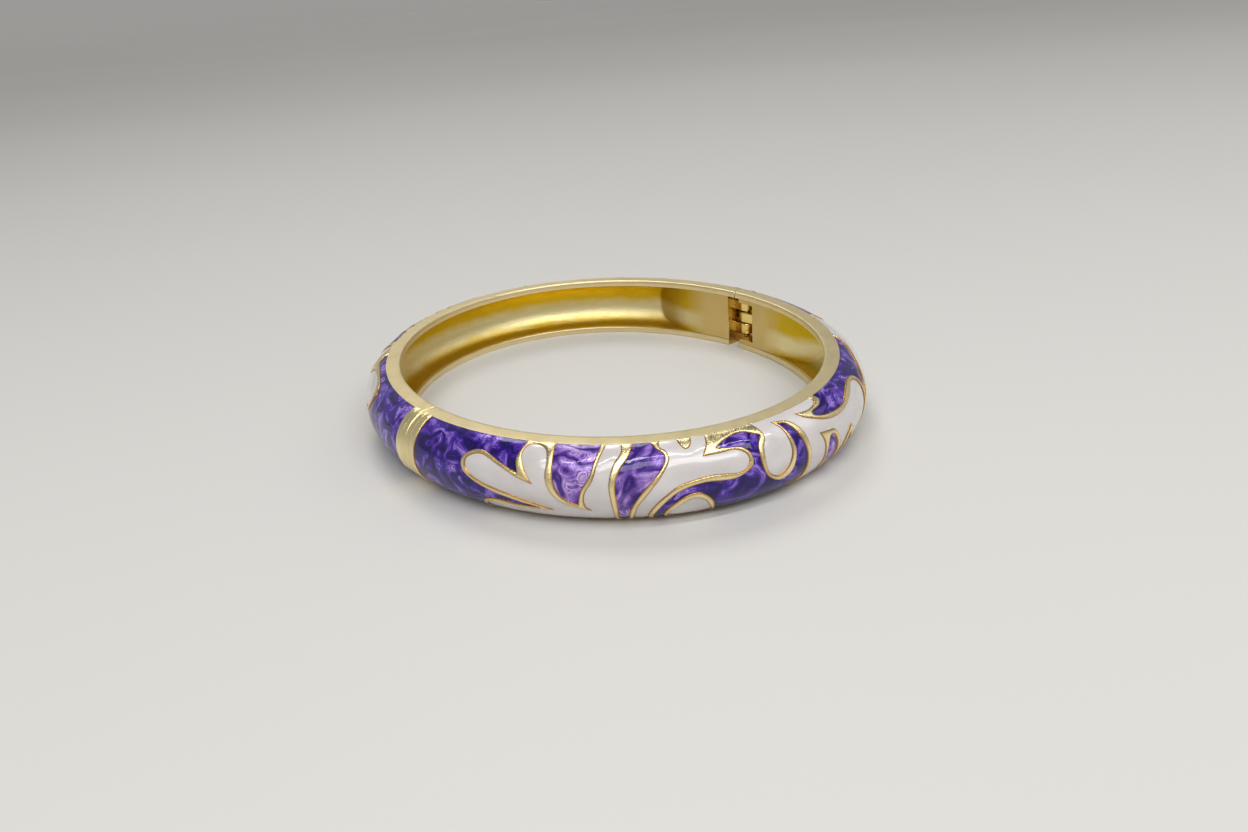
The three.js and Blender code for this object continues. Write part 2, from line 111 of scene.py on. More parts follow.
FRONT_CELLS = [
  ("violet_by_clasp", "violet", [
    (2.1, T, 1), (17.8, T, 1), (17.3, 4.2), (17.1, 3.1), (17.45, 1.8, 1), (15.2, 2.6),
    (12.9, 3.5), (11.3, 3.3), (10.1, 2.2), (10.5, 0.9), (12.6, -0.1), (15.9, -0.95),
    (19.6, -1.75, 1), (16.8, -1.75), (14.2, -1.5), (12.5, -2.1), (11.8, -3.4),
    (12.2, -4.2), (13.2, -LOW, 1), (2.1, -LOW, 1)]),
  ("white_branch", "white", [
    (10.7, 1.7), (11.0, 2.5), (12.6, 3.05), (15.0, 2.25), (17.4, 1.35), (19.3, 0.85, 1),
    (18.3, 2.2), (17.7, 3.8), (18.0, 5.0), (19.0, 5.35), (20.2, 4.8), (20.7, 3.3),
    (20.7, 1.5), (21.3, 0.2), (22.6, -0.9), (25.5, -1.8, 1), (24.85, -1.0), (25.0, 0.3),
    (25.9, 1.6), (26.4, 3.4), (27.2, T, 1), (28.8, T, 1), (28.8, 4.5), (28.0, 3.0),
    (27.5, 1.2), (27.6, -0.6), (27.7, -2.6), (27.6, -LOW, 1), (14.4, -LOW, 1), (12.7, -4.0),
    (12.5, -3.1), (13.6, -2.15), (16.5, -2.25), (21.4, -2.0, 1), (19.2, -1.2),
    (16.4, -0.5), (13.2, 0.2), (11.3, 0.9)]),
  ("violet_shield", "violet", [
    (21.3, T, 1), (26.6, T, 1), (26.0, 3.6), (25.5, 1.9), (24.6, 0.6), (24.1, -1.0, 1),
    (22.9, -0.5), (21.9, 0.6), (21.5, 2.4)]),
  ("violet_heart", "violet", [
    (30.2, T, 1), (32.0, T, 1), (32.6, 4.8), (33.4, 3.9), (33.3, 2.8), (32.2, 1.5),
    (30.6, 0.0), (29.5, -1.8), (29.1, -3.8), (28.6, -LOW, 1), (28.2, -3.4), (28.3, -1.2),
    (28.2, 0.9), (28.7, 2.4), (29.7, 4.0)]),
  ("white_finger", "white", [
    (33.2, T, 1), (35.1, T, 1), (35.4, 4.8), (35.9, 4.2), (36.5, 4.6), (36.9, T, 1),
    (38.4, T, 1), (38.2, 4.4), (37.5, 3.05, 1), (39.5, 3.05), (41.2, 3.05), (42.3, 2.3),
    (42.3, 1.4), (41.2, 0.8), (38.2, 1.1), (35.0, 0.7), (33.3, -0.2), (32.0, -1.4),
    (31.3, -3.0), (31.4, -LOW, 1), (29.7, -LOW, 1), (29.8, -3.6), (30.3, -1.4), (31.6, 0.2),
    (33.1, 1.8), (33.95, 3.2), (33.7, 4.3), (33.1, 4.9)]),
  ("white_drop", "white", [
    (33.6, -2.7), (34.6, -1.7), (36.0, -0.95), (37.3, -1.4), (37.9, -2.6), (38.3, -3.9),
    (38.0, -LOW, 1), (34.3, -LOW, 1), (33.5, -3.9)]),
  ("violet_wave", "violet", [
    (39.2, 3.7, 1), (40.6, 4.5), (42.6, 4.95), (44.6, 3.9, 1), (43.9, 2.9), (43.7, 1.4),
    (44.3, -0.3), (46.0, -1.4), (47.5, -0.9), (48.3, 0.9), (48.2, 2.6), (47.5, 4.5, 1),
    (48.5, 4.0), (49.3, 2.3), (49.8, 0.2), (49.6, -2.2), (48.8, -4.2), (47.8, -LOW, 1),
    (38.8, -LOW, 1), (38.7, -3.6), (38.2, -1.6), (36.8, -0.4), (35.0, -0.7), (33.5, -1.9),
    (32.9, -3.4), (33.4, -LOW, 1), (32.2, -LOW, 1), (31.9, -3.4), (32.7, -1.6), (34.5, -0.1),
    (37.2, 0.5), (40.6, 0.3), (42.6, 1.0), (42.9, 2.1), (42.0, 3.2), (40.6, 3.5)]),
  ("white_sweep", "white", [
    (44.4, T, 1), (54.4, T, 1), (54.3, 4.9), (52.6, 4.5), (50.4, 4.8, 1), (51.6, 3.6),
    (54.6, 2.3), (58.2, 2.1), (61.0, 2.7), (63.4, 3.4), (64.8, 2.9), (65.2, 1.4),
    (64.6, -0.6), (62.6, -2.4), (60.8, -2.2), (59.6, -0.6), (58.7, 0.3, 1), (57.6, -1.0),
    (57.1, -2.8), (56.7, -4.2, 1), (56.3, -2.8), (56.0, -0.6), (55.0, 1.0), (53.8, 1.35),
    (52.2, 1.6, 1), (52.75, 0.4), (52.9, -1.6), (52.9, -3.6), (53.1, -LOW, 1),
    (48.4, -LOW, 1), (49.4, -4.2), (50.2, -2.2), (50.4, 0.3), (50.0, 2.7), (48.8, 4.4),
    (46.8, 5.05, 1), (47.6, 3.4), (47.7, 1.2), (46.9, -0.2), (45.6, -0.7), (44.4, 0.3),
    (44.4, 2.2), (45.1, 3.8)]),
  ("violet_hook", "violet", [
    (53.6, -LOW, 1), (53.4, -2.6), (53.4, -0.2), (54.0, 0.75), (54.8, 0.4), (55.4, -0.9),
    (55.7, -3.0), (56.2, -LOW, 1)]),
  ("violet_foot", "violet", [
    (58.8, -0.7, 1), (60.3, -2.7), (62.6, -3.2), (64.8, -3.5), (68.6, -4.2), (71.8, -LOW, 1),
    (57.8, -LOW, 1), (57.5, -3.4), (57.9, -1.8)]),
  ("violet_leaf", "violet", [
    (76.8, T, 1), (55.3, T, 1), (55.5, 4.9), (54.6, 4.2), (53.0, 4.0), (52.9, 3.5),
    (54.8, 2.9), (58.2, 2.7), (60.6, 3.5), (63.2, 4.1), (65.2, 3.5), (65.9, 1.8),
    (65.7, 0.2, 1), (67.6, 2.0), (70.4, 3.5), (74.4, 4.6)]),
  ("white_leaf", "white", [
    (77.6, T, 1), (86.0, T, 1), (85.6, 3.9), (86.2, 2.4), (88.2, 2.0), (90.6, 2.9),
    (92.4, 2.7), (93.0, 1.5), (92.0, 0.4), (89.0, -0.5), (84.6, -1.2, 1), (88.4, -1.6),
    (90.6, -2.2), (91.2, -3.6), (90.0, -LOW, 1), (72.8, -LOW, 1), (69.8, -4.1), (65.9, -2.9),
    (65.5, -1.8), (66.8, 0.0), (68.6, 1.9), (71.4, 3.2), (75.0, 4.2)]),
  ("violet_by_hinge", "violet", [
    (END, T, 1), (86.6, T, 1), (86.3, 4.0), (86.9, 2.8), (88.4, 2.6), (90.6, 3.4),
    (92.8, 3.1), (93.5, 1.5), (92.6, 0.0), (89.6, -1.0), (91.2, -1.9), (91.8, -3.4),
    (90.9, -LOW, 1), (END, -LOW, 1)]),
]

# the back half begins at the clasp with two fields of its own
BACK_START = [
  ("violet_by_clasp", "violet", [
    (2.1, T, 1), (24.3, T, 1), (23.6, 5.0), (22.0, 4.65), (19.0, 4.8), (15.6, 4.7),
    (13.2, 4.05), (12.4, 3.0), (12.8, 1.8), (14.2, 0.6), (16.9, -0.1), (22.2, -0.95),
    (27.5, -1.75, 1), (23.6, -1.75), (19.5, -1.5), (16.8, -2.1), (15.6, -3.3),
    (16.0, -4.2), (17.6, -LOW, 1), (2.1, -LOW, 1)]),
  ("white_branch", "white", [
    (13.3, 2.2), (13.5, 3.0), (14.6, 3.75), (16.6, 4.2), (18.8, 4.1), (20.8, 3.6),
    (22.8, 2.4), (24.6, 1.3, 1), (24.6, 2.6), (24.9, 4.0), (25.6, 4.9), (27.0, 5.35),
    (28.4, 4.9), (28.9, 3.3), (28.9, 1.5), (29.5, 0.2), (30.8, -0.9), (33.7, -1.8, 1),
    (33.0, -1.0), (33.2, 0.3), (34.1, 1.6), (34.6, 3.4), (35.4, T, 1), (37.0, T, 1),
    (37.0, 4.5), (36.2, 3.0), (35.7, 1.2), (35.8, -0.6), (35.9, -2.6), (35.8, -LOW, 1),
    (19.8, -LOW, 1), (16.9, -4.0), (16.8, -3.1), (18.5, -2.15), (23.1, -2.25),
    (29.6, -2.0, 1), (26.9, -1.2), (23.0, -0.5), (17.9, 0.2), (14.8, 0.9)]),
]

# and repeats the rest the other way round, pushed on from the clasp
PUSHED = 8.2
PUSH_FROM, PUSH_OVER = 40, 60


def pushed_on(s):
    u = min(1, max(0, (s - PUSH_FROM) / PUSH_OVER))
    return s + PUSHED * (1 - u * u * (3 - 2 * u))


BACK_CELLS = BACK_START + [
    (name, colour, [(pushed_on(p[0]), *p[1:]) for p in outline])
    for name, colour, outline in FRONT_CELLS[2:]]
BACK_CELLS = [(name, colour, [(-p[0], *p[1:]) for p in outline])
              for name, colour, outline in BACK_CELLS]


# ---------------------------------------------------------------- curves
def spline(points, closed, step):
    """A Catmull-Rom curve through the points, sampled about every step."""
    p = np.array([q[:2] for q in points], float)
    if closed:
        ring = np.vstack([p[-1:], p, p[:2]])
    else:
        ring = np.vstack([2 * p[:1] - p[1:2], p, 2 * p[-1:] - p[-2:-1]])
    out = []
    for i in range(1, len(ring) - 2):
        a, b, c, d = ring[i - 1], ring[i], ring[i + 1], ring[i + 2]
        n = max(1, int(round(np.linalg.norm(c - b) / step)))
        u = (np.arange(n) / n)[:, None]
        out.append(0.5 * (2 * b + (c - a) * u + (2 * a - 5 * b + 4 * c - d) * u ** 2
                          + (3 * b - a - 3 * c + d) * u ** 3))
    if not closed:
        out.append(p[-1:])
    return np.vstack(out)


def smooth_loop(points, step):
    """The closed outline: smooth curves between its sharp corners."""
    first = next((i for i, p in enumerate(points) if len(p) > 2), None)
    if first is None:
        return spline(points, True, step)
    turned = points[first:] + points[:first] + [points[first]]
    out, run = [], [turned[0]]
    for p in turned[1:]:
        run.append(p)
        if len(p) > 2:
            out.append(spline(run, False, step)[:-1])
            run = [p]
    return np.vstack(out)


def area(loop):
    x, y = loop[:, 0], loop[:, 1]
    return 0.5 * np.sum(x * np.roll(y, -1) - y * np.roll(x, -1))


def grown(loop, by):
    """The loop moved outwards by that much."""
    turn = 1 if area(loop) > 0 else -1
    ahead = np.roll(loop, -1, 0) - loop
    ahead /= np.linalg.norm(ahead, axis=1)[:, None]
    behind = np.roll(ahead, 1, 0)
    n = ahead + behind
    n = np.stack([n[:, 1], -n[:, 0]], 1)
    size = np.linalg.norm(n, axis=1)
    n /= np.maximum(size, 1e-9)[:, None]
    return loop + turn * by * n / np.maximum(0.5, size / 2)[:, None]


def signed_distance(points, loop):
    """Distance of each point from the closed loop, negative inside it."""
    a, b = loop, np.roll(loop, -1, 0)
    ab = b - a
    length2 = (ab ** 2).sum(1)
    best = np.full(len(points), 1e9)
    inside = np.zeros(len(points), bool)
    for i in range(len(a)):
        d = points - a[i]
        u = np.clip(d @ ab[i] / length2[i], 0, 1)
        best = np.minimum(best, ((d - u[:, None] * ab[i]) ** 2).sum(1))
        if a[i, 1] != b[i, 1]:
            cross = (points[:, 1] >= a[i, 1]) != (points[:, 1] >= b[i, 1])
            at = a[i, 0] + (points[:, 1] - a[i, 1]) * ab[i, 0] / ab[i, 1]
            inside ^= cross & (points[:, 0] < at)
    best = np.sqrt(best)
    return np.where(inside, -best, best)


# ---------------------------------------------------------------- the two bends
def oval_point(angle, offset):
    """A plan point, offset outwards from the oval of the opening."""
    nx, ny = SEMI_Y * np.cos(angle), SEMI_X * np.sin(angle)
    size = np.hypot(nx, ny)
    return (SEMI_X * np.cos(angle) + offset * nx / size,
            SEMI_Y * np.sin(angle) + offset * ny / size)


ANGLES = np.linspace(0, math.pi, 2881)
_x, _y = oval_point(ANGLES, CREST)
ARC_TABLE = np.concatenate([[0], np.cumsum(np.hypot(np.diff(_x), np.diff(_y)))])
HALF = ARC_TABLE[-1]


def across(t, h):
    """(offset from the inner oval, z) of a place on the dome, an arc from rim to rim."""
    angle = np.asarray(t) / ARC_R
    x, z = DOME_R - BULGE + BULGE * np.cos(angle), MID * np.sin(angle)
    out = (DOME_R + h) / np.hypot(x, z)
    return CREST - DOME_R + out * x, MID + out * z


def along(s, offset, z):
    """Points of the ring, in millimetres."""
    s, offset, z = np.broadcast_arrays(s, offset, z)
    angle = math.pi + np.sign(s) * np.interp(np.abs(s), ARC_TABLE, ANGLES)
    x, y = oval_point(angle, offset)
    return np.stack([x, y, z], -1)


# ---------------------------------------------------------------- mesh helpers
def new_object(name, verts, faces, uvs=None):
    """verts in millimetres; uvs one pair for each corner of each face."""
    mesh = bpy.data.meshes.new(name)
    mesh.from_pydata((np.asarray(verts) * MM).tolist(), [], faces)
    if uvs is not None:
        layer = mesh.uv_layers.new(name="chart")
        layer.data.foreach_set("uv", np.asarray(uvs, float).ravel())
    obj = bpy.data.objects.new(name, mesh)
    bpy.context.scene.collection.objects.link(obj)
    return obj


def shade(obj, degrees=35):
    for p in obj.data.polygons:
        p.use_smooth = True
    obj.data.set_sharp_from_angle(angle=math.radians(degrees))


def solid_of(name, build):
    """An object from a function that fills a bmesh, in millimetres."""
    bm = bmesh.new()
    build(bm)
    bmesh.ops.recalc_face_normals(bm, faces=bm.faces)
    bmesh.ops.scale(bm, vec=(MM, MM, MM), verts=bm.verts)
    mesh = bpy.data.meshes.new(name)
    bm.to_mesh(mesh)
    bm.free()
    obj = bpy.data.objects.new(name, mesh)
    bpy.context.scene.collection.objects.link(obj)
    return obj


def add_box(bm, x0, x1, y0, y1, z0, z1):
    place = Matrix.Translation(((x0 + x1) / 2, (y0 + y1) / 2, (z0 + z1) / 2)) @ Matrix.Diagonal(
        (x1 - x0, y1 - y0, z1 - z0, 1))
    bmesh.ops.create_cube(bm, size=1, matrix=place)


def add_rod(bm, x, y, radius, z0, z1, segments=48):
    bmesh.ops.create_cone(
        bm, cap_ends=True, segments=segments, radius1=radius, radius2=radius, depth=z1 - z0,
        matrix=Matrix.Translation((x, y, (z0 + z1) / 2)))


def boolean(obj, cutter, operation):
    mod = obj.modifiers.new("b", "BOOLEAN")
    mod.object = cutter
    mod.operation = operation
    mod.solver = "EXACT"
    mod.material_mode = "TRANSFER"
    bpy.context.view_layer.update()
    done = bpy.data.meshes.new_from_object(
        obj.evaluated_get(bpy.context.evaluated_depsgraph_get()))
    obj.modifiers.clear()
    obj.data = done
    bpy.data.objects.remove(cutter, do_unlink=True)


# ---------------------------------------------------------------- materials
# the stripe is a painted highlight: a paler tint at this height in the channel
HIGHLIGHT_STRIPE_Z = MID - 1.4        # height of the pale stripe in the channel


class Nodes:
    """A short way to write a node tree."""

    def __init__(self, name):
        self.mat = bpy.data.materials.new(name)
        self.mat.use_nodes = True
        self.tree = self.mat.node_tree
        self.bsdf = self.tree.nodes["Principled BSDF"]

    def add(self, kind, values=None, **props):
        node = self.tree.nodes.new(kind)
        for key, value in props.items():
            setattr(node, key, value)
        for key, value in (values or {}).items():
            if hasattr(value, "links") or isinstance(value, bpy.types.NodeSocket):
                self.tree.links.new(value, node.inputs[key])
            else:
                node.inputs[key].default_value = value
        return node

    def math(self, operation, a, b=0.0):
        return self.add("ShaderNodeMath", {0: a, 1: b}, operation=operation).outputs[0]

    def part(self, vector, axis):
        return self.add("ShaderNodeSeparateXYZ", {"Vector": vector}).outputs[axis]

    def mixed(self, factor, base, colour):
        """base where factor is 0, the plain colour where it is 1."""
        blend = self.add("ShaderNodeMix", data_type="RGBA")
        self.tree.links.new(factor, blend.inputs["Factor"])
        self.tree.links.new(base, blend.inputs["A"])
        blend.inputs["B"].default_value = (*colour, 1)
        return blend.outputs["Result"]

    def noise(self, vector, scale, detail=3.0, rough=0.5, distortion=0.0):
        return self.add("ShaderNodeTexNoise", {
            "Vector": vector, "Scale": scale, "Detail": detail, "Roughness": rough,
            "Distortion": distortion})

    def scaled(self, vector, scale):
        return self.add("ShaderNodeVectorMath", {0: vector, 1: scale},
                        operation="MULTIPLY").outputs[0]

    def ramp(self, fac, stops):
        node = self.add("ShaderNodeValToRGB", {"Fac": fac})
        elements = node.color_ramp.elements
        while len(elements) < len(stops):
            elements.new(0.5)
        for element, (at, colour) in zip(elements, stops):
            element.position = at
            element.color = (*colour, 1)
        return node.outputs["Color"]

    def spread(self, value, low, high, to_low, to_high):
        return self.add("ShaderNodeMapRange", {
            "Value": value, "From Min": low, "From Max": high,
            "To Min": to_low, "To Max": to_high}).outputs[0]

    def bump(self, height, distance, strength=1.0, below=None):
        values = {"Height": height, "Distance": distance, "Strength": strength}
        if below is not None:
            values["Normal"] = below
        return self.add("ShaderNodeBump", values).outputs[0]

    def put(self, **values):
        for key, value in values.items():
            socket = self.bsdf.inputs[key.replace("_", " ")]
            if isinstance(value, bpy.types.NodeSocket):
                self.tree.links.new(value, socket)
            else:
                socket.default_value = value
        return self.mat


def gold_material(name, pale, deep, rough, grain, grain_scale=6.0, brushed=None, mottle=0.5,
                  crease_shade=None, block_reflection=None, highlight_stripe=None):
    """Gold plating: tint, roughness and fine relief vary over the surface.

    brushed is the scale of fine lines along (s, t), or None for an isotropic grain.
    crease_shade is a dark brown tint painted as shade beside the enamel, except along the rims.
    block_reflection is a tan tint painted on the blocks at the ends of a half as a reflection.
    highlight_stripe is the paler tint of a painted highlight stripe inside the channel, with its
    half width.
    """
    n = Nodes(name)
    where = n.scaled(n.add("ShaderNodeTexCoord").outputs["Object"], (1 / MM, 1 / MM, 1 / MM))
    chart = n.add("ShaderNodeUVMap", uv_map="chart").outputs["UV"]
    mark = n.add("ShaderNodeAttribute", attribute_name="mark").outputs["Fac"]
    cloud = n.noise(where, 0.35, 4, 0.6).outputs["Fac"]
    tint = n.ramp(n.spread(cloud, 0.3, 0.7, 0.5 - mottle / 2, 0.5 + mottle / 2),
                  [(0.0, deep), (1.0, pale)])
    # painted highlight: a paler band of colour along the channel, at the height where the lamps'
    # highlight lies
    if highlight_stripe:
        colour, half = highlight_stripe
        away = n.math("ABSOLUTE", n.math("SUBTRACT", n.part(where, "Z"), HIGHLIGHT_STRIPE_Z))
        away = n.math("ADD", away, n.spread(cloud, 0.3, 0.7, -0.3, 0.3))
        tint = n.mixed(n.spread(away, half * 0.4, half * 1.3, 1, 0), tint, colour)
    # painted shade: the gold is tinted dark brown beside the enamel, as if the crease there lay in
    # shade
    if crease_shade:
        up = n.math("ABSOLUTE", n.part(chart, "Y"))
        crease_shade_mask = n.math("MULTIPLY", n.spread(mark, 0.05, 0.72, 1, 0),
                         n.spread(up, 5.2, 5.6, 1, 0))
        tint = n.mixed(crease_shade_mask, tint, crease_shade)
    # painted reflection: the blocks' inner faces take a tan tint that stands for a warm reflection
    if block_reflection:
        tint = n.mixed(n.spread(mark, 1, 0, 1, 0), tint, block_reflection)
    fine = n.noise(where, grain_scale, 3, 0.65).outputs["Fac"]
    wear = n.noise(where, 1.1, 5, 0.7, 0.6).outputs["Fac"]
    relief = n.bump(fine, grain * MM)
    if brushed:
        lines = n.noise(n.scaled(chart, (*brushed, 1)), 1.0, 4, 0.7).outputs["Fac"]
        relief = n.bump(lines, grain * 1.2 * MM, 1.0, relief)
    return n.put(
        Base_Color=tint, Metallic=1.0, Normal=relief,
        Roughness=n.spread(wear, 0.25, 0.75, rough - 0.06, rough + 0.08))


def violet_material(name, dark, middle, light, shift, fold, sheen, low_shade=None):
    """Pearl enamel stirred into nested folds of fine hairs under a clear gloss.

    low_shade is how much of the pearl still shows low on the dome, where the colour is darkened as
    painted shade.
    """
    n = Nodes(name)
    chart = n.add("ShaderNodeUVMap", uv_map="chart").outputs["UV"]
    base = n.add("ShaderNodeVectorMath", {0: chart, 1: shift}, operation="ADD").outputs[0]
    push = n.noise(base, 0.30, 1.5, 0.45)
    centred = n.add("ShaderNodeVectorMath", {0: push.outputs["Color"], 1: (0.5, 0.5, 0.5)},
                    operation="SUBTRACT").outputs[0]
    warped = n.add("ShaderNodeVectorMath", {0: n.scaled(centred, (5.2, 5.2, 0)), 1: base},
                   operation="ADD").outputs[0]
    field = n.noise(n.scaled(warped, (0.30, 0.34, 1)), 1.0, 1.0, 0.4).outputs["Fac"]
    course = n.noise(n.scaled(warped, (0.55, 0.5, 1)), 1.0, 1.0, 0.4).outputs["Fac"]
    folds = n.math("SINE", n.math("MULTIPLY", field, fold))
    strand = n.add("ShaderNodeCombineXYZ", {
        "X": n.math("MULTIPLY", field, fold * 3.4), "Y": n.math("MULTIPLY", course, 9.0)})
    hair = n.noise(strand.outputs[0], 1.0, 4, 0.62).outputs["Fac"]
    large = n.noise(base, 0.38, 2, 0.5, 0.8).outputs["Fac"]
    speckle = n.noise(chart, 9.0, 2, 0.6).outputs["Fac"]
    lit = n.math("MULTIPLY", n.spread(folds, -1, 1, 0.12, 1), n.spread(hair, 0.36, 0.64, 0.15, 1.0))
    lit = n.math("MULTIPLY", lit, n.spread(large, 0.36, 0.60, 0.35, 1.25))
    lit = n.math("ADD", lit, n.spread(speckle, 0.3, 0.7, -0.05, 0.07))
    # painted shade: the enamel grows darker towards the bottom of the dome
    if low_shade:
        lit = n.math("MULTIPLY", lit, n.spread(n.part(chart, "Y"), -4.2, 0.4, low_shade, 1))
    colour = n.ramp(lit, [(0.06, dark), (0.40, middle), (0.98, light)])
    relief = n.bump(folds, 0.010 * MM, 1.0, n.bump(hair, 0.02 * MM))
    skin = n.noise(n.scaled(chart, (0.6, 0.8, 1)), 1.0, 1.5, 0.45).outputs["Fac"]
    coat = n.bump(skin, 0.045 * MM)
    return n.put(
        Base_Color=colour, Metallic=sheen, Roughness=n.spread(lit, 0, 1, 0.45, 0.28),
        Specular_IOR_Level=0.15, Normal=relief, Coat_Weight=0.65, Coat_Roughness=0.045,
        Coat_Normal=coat)


def white_material():
    """Glossy opaque enamel, faintly clouded, with a slightly wavy skin."""
    n = Nodes("white_enamel")
    chart = n.add("ShaderNodeUVMap", uv_map="chart").outputs["UV"]
    cloud = n.noise(n.scaled(chart, (0.25, 0.4, 1)), 1.0, 3, 0.5).outputs["Fac"]
    colour = n.ramp(n.spread(cloud, 0.3, 0.7, 0, 1),
                    [(0.0, (0.57, 0.535, 0.53)), (1.0, (0.66, 0.63, 0.625))])
    skin = n.noise(n.scaled(chart, (0.5, 0.6, 1)), 1.0, 1.5, 0.45).outputs["Fac"]
    speck = n.noise(chart, 7.0, 2, 0.5).outputs["Fac"]
    relief = n.bump(skin, 0.05 * MM)
    return n.put(
        Base_Color=colour, Roughness=n.spread(speck, 0.3, 0.7, 0.18, 0.28), Normal=relief,
        Coat_Weight=0.7, Coat_Roughness=0.04, Subsurface_Weight=0.12,
        Subsurface_Scale=0.0006)


# gold_lines: a dark brown painted shade beside the enamel
CELL_GOLD = gold_material("gold_lines", (1.0, 0.87, 0.53), (0.90, 0.72, 0.34), 0.27, 0.032,
                          6.5, crease_shade=(0.40, 0.18, 0.025))
RIM_GOLD = gold_material("gold_rims", (0.90, 0.77, 0.46), (0.84, 0.70, 0.39), 0.36, 0.006,
                         brushed=(0.6, 14.0), mottle=0.8)
# gold_inside: a painted highlight stripe along the channel, and a tan painted reflection on the
# blocks
INNER_GOLD = gold_material("gold_inside", (0.72, 0.51, 0.03), (0.60, 0.40, 0.008), 0.36,
                           0.060, 4.2, mottle=0.6, block_reflection=(0.74, 0.56, 0.23),
                           highlight_stripe=((0.86, 0.76, 0.42), 1.5))
BLOCK_GOLD = gold_material("gold_blocks", (0.76, 0.56, 0.24), (0.60, 0.39, 0.12), 0.26, 0.012,
                           brushed=(1.0, 6.0))
BAND_GOLD = gold_material("gold_bands", (1.0, 0.89, 0.54), (0.84, 0.69, 0.31), 0.30, 0.020,
                          brushed=(14.0, 0.6), mottle=0.8)
PIN_GOLD = gold_material("gold_hinge", (0.94, 0.76, 0.30), (0.84, 0.62, 0.18), 0.16, 0.006)
WHITE = white_material()
# violet_enamel_deep is darkened low on the dome as painted shade
VIOLET_DEEP = violet_material("violet_enamel_deep", (0.006, 0.001, 0.075),
                              (0.066, 0.014, 0.37), (0.46, 0.31, 0.80), (3.1, 7.3, 0), 27, 0.25,
                              low_shade=0.45)
VIOLET_PALE = violet_material("violet_enamel_pale", (0.025, 0.005, 0.15),
                              (0.22, 0.105, 0.48), (0.64, 0.46, 0.78), (11.7, 2.9, 0), 24, 0.25)
GOLDS = [CELL_GOLD, RIM_GOLD, INNER_GOLD, BLOCK_GOLD, BAND_GOLD]
LINES, RIMS, INSIDE, BLOCKS, BANDS = range(5)
PALE_CELLS = {"violet_shield", "violet_heart", "violet_hook"}


# ---------------------------------------------------------------- one cast half
S_STEP = 0.25                                  # along the ring
OUTLINE_STEP = 0.15                            # along the outlines
GRID_S, GRID_T = 0.45, 0.39                    # over wide gold and under the enamel
ACROSS_END = np.linspace(-EDGE, EDGE, 37)[1:-1]
LINE_RINGS = (0.025, 0.07, 0.13, 0.21, 0.31)   # rings of points beside each outline
CELL_RING = -0.06
END_STEPS = (0.03, 0.07, 0.12, 0.17)           # stations on the rounded end
GROOVE_AT = 0.95
GROOVE_W = 0.13
GROOVE_D = 0.05
BAND_END = 2.0                                 # where the band at the clasp ends
RIM_FLAT = 0.45                                # where the rim's flat face ends


def arc_points(cx, cz, radius, from_deg, to_deg, n):
    """Points of an arc in the section, in (offset, z)."""
    a = np.radians(np.linspace(from_deg, to_deg, n))
    return np.stack([cx + radius * np.cos(a), cz + radius * np.sin(a)], 1)


def inner_section():
    """The section from the outer foot of the upper rim round the inside to the lower rim.

    Also returns how many of its points belong to one rim.
    """
    edge, lip = 0.16, 0.12
    upper = np.vstack([
        np.array([[1.2, HEIGHT], [0.8, HEIGHT], [RIM_FLAT, HEIGHT]]),
        arc_points(edge, HEIGHT - edge, edge, 90, 180, 4),
        np.array([[0, HEIGHT - RIM_FLAT]]),
        arc_points(lip, HEIGHT - LIP + lip, lip, 180, 270, 4),
        np.array([[0.5, HEIGHT - LIP], [1.0, HEIGHT - LIP]])])
    turn = np.radians(np.linspace(90, -90, 29))
    reach, rise = BULGE - WALL, MID - LIP
    back = np.stack([RIM + reach * np.cos(turn), MID + rise * np.sin(turn)], 1)
    lower = upper[::-1] * [1, -1] + [0, HEIGHT]
    return np.vstack([upper, back, lower]), len(upper) - 2


def block_face(distance, length, ramp):
    """How far the block's inner face is from the inner oval, by distance from the end."""
    u = np.linspace(0, 1, 60)
    reach = ramp * (3 * 0.5 * u * (1 - u) ** 2 + 3 * 0.8 * u ** 2 * (1 - u) + u ** 3)
    rise = (BLOCK_FACE * (1 - u) ** 3 + 3 * (BLOCK_FACE + 0.2) * u * (1 - u) ** 2
            + 3 * CREST * 0.45 * u ** 2 * (1 - u) + CREST * u ** 3)
    return np.interp(distance - length, reach, rise)


def cell_distance(points, loops):
    """Distance of each chart point from the nearest cell, negative inside one."""
    distance = np.full(len(points), 9.0)
    for loop in loops:
        low, high = loop.min(0) - 1.2, loop.max(0) + 1.2
        near = np.nonzero(((points >= low) & (points <= high)).all(1))[0]
        distance[near] = np.minimum(distance[near], signed_distance(points[near], loop))
    return distance


def end_round(distance):
    """How much the section shrinks close to an end face."""
    from_end = np.minimum(distance, HALF - distance) - SEAM
    left = END_ROUND - np.clip(from_end, 0, END_ROUND)
    return END_ROUND - np.sqrt(np.maximum(0, END_ROUND ** 2 - left ** 2))


def gold_height(points, gap):
    """Height of the casting over the plain dome: raised lines round the sunk cells."""
    x = np.clip(gap / LINE_R, 0, 1)
    ridge = LINE_H * np.sqrt(np.maximum(0, 1 - (1 - x) ** 2))
    hollow = np.clip((gap - 0.4) / 0.5, 0, 1)
    ridge -= PATCH_DIP * hollow ** 2 * (3 - 2 * hollow)
    fade = np.clip((EDGE - np.abs(points[:, 1])) / 0.28, 0, 1)
    height = np.where(gap > -1e-6, ridge * np.sqrt(fade), -np.minimum(CELL_DEPTH, -gap * 6))
    distance = np.abs(points[:, 0])
    from_end = np.minimum(distance, HALF - distance)
    w = np.clip(1 - np.abs(from_end - GROOVE_AT) / GROOVE_W, 0, 1)
    height = np.where(gap > 0, height - fade * GROOVE_D * w * w * (3 - 2 * w), height)
    return height - end_round(distance)


